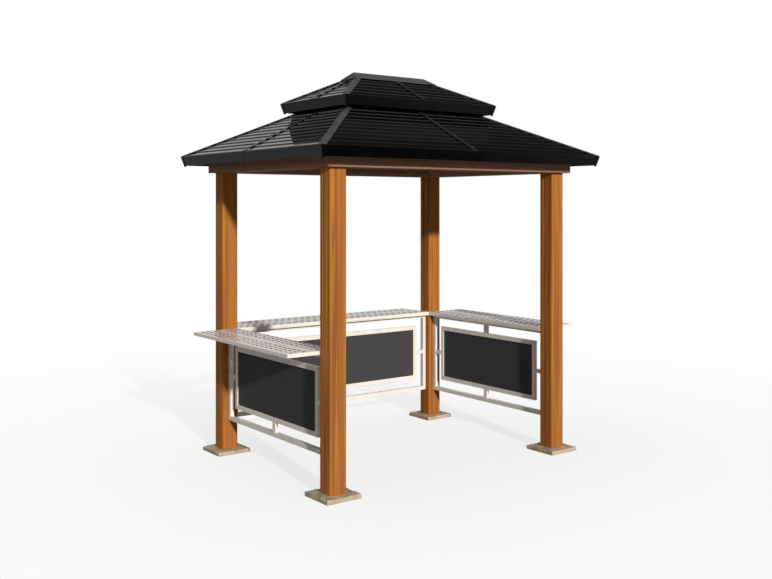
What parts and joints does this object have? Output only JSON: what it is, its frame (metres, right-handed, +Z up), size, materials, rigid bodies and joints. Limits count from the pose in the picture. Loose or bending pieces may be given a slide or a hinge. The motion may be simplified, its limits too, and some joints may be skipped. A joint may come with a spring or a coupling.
{
  "type": "garden gazebo",
  "caption": "Open garden gazebo with a vented two-tier hip roof, wood posts on stone slabs, and outward serving counters over framed panels on the sides and back.",
  "frame": {"origin": "on the ground under the middle of the whole outline, counters included", "axes": "+X to the right seen from the open front, +Y to the back, +Z up"},
  "size_m": [2.465, 1.9089, 2.7001],
  "materials": {
    "post_wood": "satin oiled",
    "beam_wood": "matte stained",
    "stone": "riven",
    "powder_coat": "fine textured powder coat",
    "dark_panel": "satin",
    "roof_metal": "satin",
    "roof_trim": "satin",
    "roof_frame": "matte"
  },
  "bodies": {
    "root": {"slab_front_left": "stone", "slab_front_right": "stone", "slab_back_left": "stone", "slab_back_right": "stone", "post_front_left": "post_wood", "post_front_right": "post_wood", "post_back_left": "post_wood", "post_back_right": "post_wood", "beam_front": "beam_wood", "beam_right": "beam_wood", "beam_back": "beam_wood", "beam_left": "beam_wood", "counter_right": "powder_coat", "counter_back": "powder_coat", "counter_left": "powder_coat", "rail_frame_right": "powder_coat", "rail_frame_back": "powder_coat", "rail_frame_left": "powder_coat", "panel_frame_right": "powder_coat", "panel_frame_back": "powder_coat", "panel_frame_left": "powder_coat", "panel_right": "dark_panel", "panel_back": "dark_panel", "panel_left": "dark_panel", "hip_rafters": "roof_frame", "mid_rafters": "roof_frame", "vent_frame": "roof_frame", "vent_stubs": "roof_frame", "fascia_front": "roof_metal", "fascia_right": "roof_metal", "fascia_back": "roof_metal", "fascia_left": "roof_metal", "sheets_front": "roof_metal", "sheets_right": "roof_metal", "sheets_back": "roof_metal", "sheets_left": "roof_metal", "hip_caps": "roof_trim", "seam_strips": "roof_trim", "corner_covers": "roof_metal", "upper_rafters": "roof_frame", "ridge_board": "roof_frame", "upper_fascia": "roof_metal", "upper_sheets_long": "roof_metal", "upper_sheets_short": "roof_metal", "upper_hip_caps": "roof_trim", "upper_seam_strips": "roof_trim", "ridge_cap": "roof_trim"}
  },
  "joints": []
}
